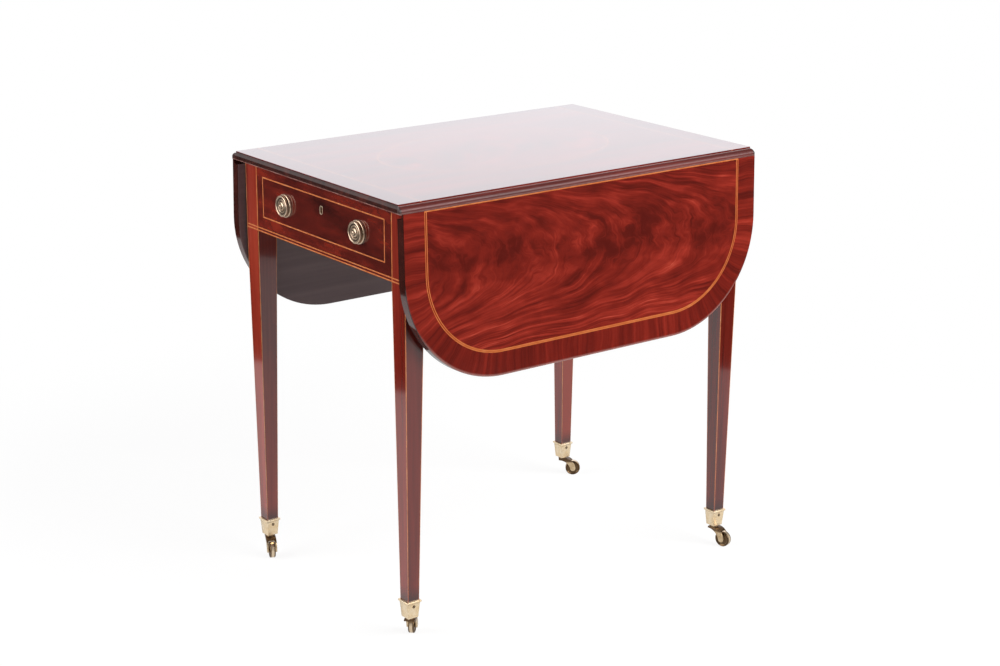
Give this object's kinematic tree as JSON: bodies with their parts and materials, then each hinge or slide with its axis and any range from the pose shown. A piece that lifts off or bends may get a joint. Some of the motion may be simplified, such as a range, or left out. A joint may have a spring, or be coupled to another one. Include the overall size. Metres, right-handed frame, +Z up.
{
  "type": "pembroke table",
  "caption": "Small rectangular drop-leaf table on tapered castored legs, with rule-jointed D-shaped leaves, an end drawer with a facing dummy front, crossbanding and boxwood lines.",
  "frame": {"origin": "on the floor, under the middle of the closed table", "axes": "+Z up; -Y towards the drawer end; +X towards the right-hand leaf seen from the drawer end"},
  "size_m": [0.5228, 0.728, 0.725],
  "materials": {
    "polished_mahogany": "French polished, glossy",
    "crossbanding": "French polished, glossy",
    "boxwood": "French polished, glossy",
    "secondary_wood": "bare, planed",
    "fly_wood": "bare, planed",
    "drawer_lining": "bare, planed",
    "brass": "polished, lacquered",
    "iron": "dull"
  },
  "bodies": {
    "carcase": {"top_board": "polished_mahogany", "top_crossbands": "crossbanding", "top_stringing": "boxwood", "carcase_stringing": "boxwood", "side_rail_right": "secondary_wood", "side_rail_left": "secondary_wood", "drawer_rail": "polished_mahogany", "upper_rail": "secondary_wood", "dummy_drawer_front": "polished_mahogany", "dummy_knobs": "brass", "drawer_runners": "secondary_wood", "drawer_kickers": "secondary_wood", "drawer_stops": "secondary_wood", "fly_rail_right": "fly_wood", "fly_rail_left": "fly_wood", "fly_pins": "iron", "hinge_top_flaps": "iron", "hinge_pins": "iron", "leg_front_right": "polished_mahogany", "castor_cup_front_right": "brass", "leg_front_left": "polished_mahogany", "castor_cup_front_left": "brass", "leg_back_right": "polished_mahogany", "castor_cup_back_right": "brass", "leg_back_left": "polished_mahogany", "castor_cup_back_left": "brass"},
    "leaf_right": {"leaf_right_board": "polished_mahogany", "leaf_right_crossband": "crossbanding", "leaf_right_stringing": "boxwood", "leaf_right_hinge_flaps": "iron"},
    "leaf_left": {"leaf_left_board": "polished_mahogany", "leaf_left_crossband": "crossbanding", "leaf_left_stringing": "boxwood", "leaf_left_hinge_flaps": "iron"},
    "drawer": {"drawer_front": "polished_mahogany", "drawer_front_stringing": "boxwood", "drawer_side_right": "drawer_lining", "drawer_side_left": "drawer_lining", "drawer_back": "drawer_lining", "drawer_bottom": "drawer_lining", "drawer_knobs": "brass", "escutcheon": "brass", "lock_case": "brass"},
    "lock_bolt": {"lock_bolt": "iron"},
    "fly_bracket_front_right": {"fly_bracket_front_right": "fly_wood"},
    "castor_horn_front_right": {"castor_horn_front_right": "brass"},
    "castor_wheel_front_right": {"castor_wheel_front_right": "brass"},
    "fly_bracket_front_left": {"fly_bracket_front_left": "fly_wood"},
    "castor_horn_front_left": {"castor_horn_front_left": "brass"},
    "castor_wheel_front_left": {"castor_wheel_front_left": "brass"},
    "fly_bracket_back_right": {"fly_bracket_back_right": "fly_wood"},
    "castor_horn_back_right": {"castor_horn_back_right": "brass"},
    "castor_wheel_back_right": {"castor_wheel_back_right": "brass"},
    "fly_bracket_back_left": {"fly_bracket_back_left": "fly_wood"},
    "castor_horn_back_left": {"castor_horn_back_left": "brass"},
    "castor_wheel_back_left": {"castor_wheel_back_left": "brass"}
  },
  "joints": [
    {"name": "leaf_right_hinge", "type": "hinge", "parent": "carcase", "child": "leaf_right", "pos_m": [0.2395, 0, 0.712], "axis": [0, -1, 0], "range_deg": [0, 88.2]},
    {"name": "leaf_left_hinge", "type": "hinge", "parent": "carcase", "child": "leaf_left", "pos_m": [-0.2395, 0, 0.712], "axis": [0, 1, 0], "range_deg": [0, 88.2]},
    {"name": "drawer_slide", "type": "slide", "parent": "carcase", "child": "drawer", "axis": [0, -1, 0], "range_m": [0, 0.4]},
    {"name": "lock_bolt_throw", "type": "slide", "parent": "drawer", "child": "lock_bolt", "axis": [0, 0, 1], "range_m": [0, 0.006]},
    {"name": "fly_front_right_pivot", "type": "hinge", "parent": "carcase", "child": "fly_bracket_front_right", "pos_m": [0.2211, -0.07, 0.6615], "axis": [0, 0, 1], "range_deg": [0, 1.8]},
    {"name": "fly_front_left_pivot", "type": "hinge", "parent": "carcase", "child": "fly_bracket_front_left", "pos_m": [-0.2211, -0.07, 0.6615], "axis": [0, 0, -1], "range_deg": [0, 1.8]},
    {"name": "fly_back_right_pivot", "type": "hinge", "parent": "carcase", "child": "fly_bracket_back_right", "pos_m": [0.2211, 0.07, 0.6615], "axis": [0, 0, -1], "range_deg": [0, 1.8]},
    {"name": "fly_back_left_pivot", "type": "hinge", "parent": "carcase", "child": "fly_bracket_back_left", "pos_m": [-0.2211, 0.07, 0.6615], "axis": [0, 0, 1], "range_deg": [0, 1.8]},
    {"name": "castor_front_right_swivel", "type": "hinge", "parent": "carcase", "child": "castor_horn_front_right", "pos_m": [0.2171, -0.3311, 0.037], "axis": [0, 0, 1], "continuous": true},
    {"name": "castor_front_right_roll", "type": "hinge", "parent": "castor_horn_front_right", "child": "castor_wheel_front_right", "pos_m": [0.20296, -0.31696, 0.014], "axis": [-0.7071, -0.7071, 0], "continuous": true},
    {"name": "castor_front_left_swivel", "type": "hinge", "parent": "carcase", "child": "castor_horn_front_left", "pos_m": [-0.2171, -0.3311, 0.037], "axis": [0, 0, 1], "continuous": true},
    {"name": "castor_front_left_roll", "type": "hinge", "parent": "castor_horn_front_left", "child": "castor_wheel_front_left", "pos_m": [-0.19869, -0.33891, 0.014], "axis": [0.3907, 0.9205, 0], "continuous": true},
    {"name": "castor_back_right_swivel", "type": "hinge", "parent": "carcase", "child": "castor_horn_back_right", "pos_m": [0.2171, 0.3311, 0.037], "axis": [0, 0, 1], "continuous": true},
    {"name": "castor_back_right_roll", "type": "hinge", "parent": "castor_horn_back_right", "child": "castor_wheel_back_right", "pos_m": [0.23642, 0.33628, 0.014], "axis": [-0.2588, 0.9659, 0], "continuous": true},
    {"name": "castor_back_left_swivel", "type": "hinge", "parent": "carcase", "child": "castor_horn_back_left", "pos_m": [-0.2171, 0.3311, 0.037], "axis": [0, 0, 1], "continuous": true},
    {"name": "castor_back_left_roll", "type": "hinge", "parent": "castor_horn_back_left", "child": "castor_wheel_back_left", "pos_m": [-0.20506, 0.34707, 0.014], "axis": [-0.7986, 0.6018, 0], "continuous": true}
  ]
}
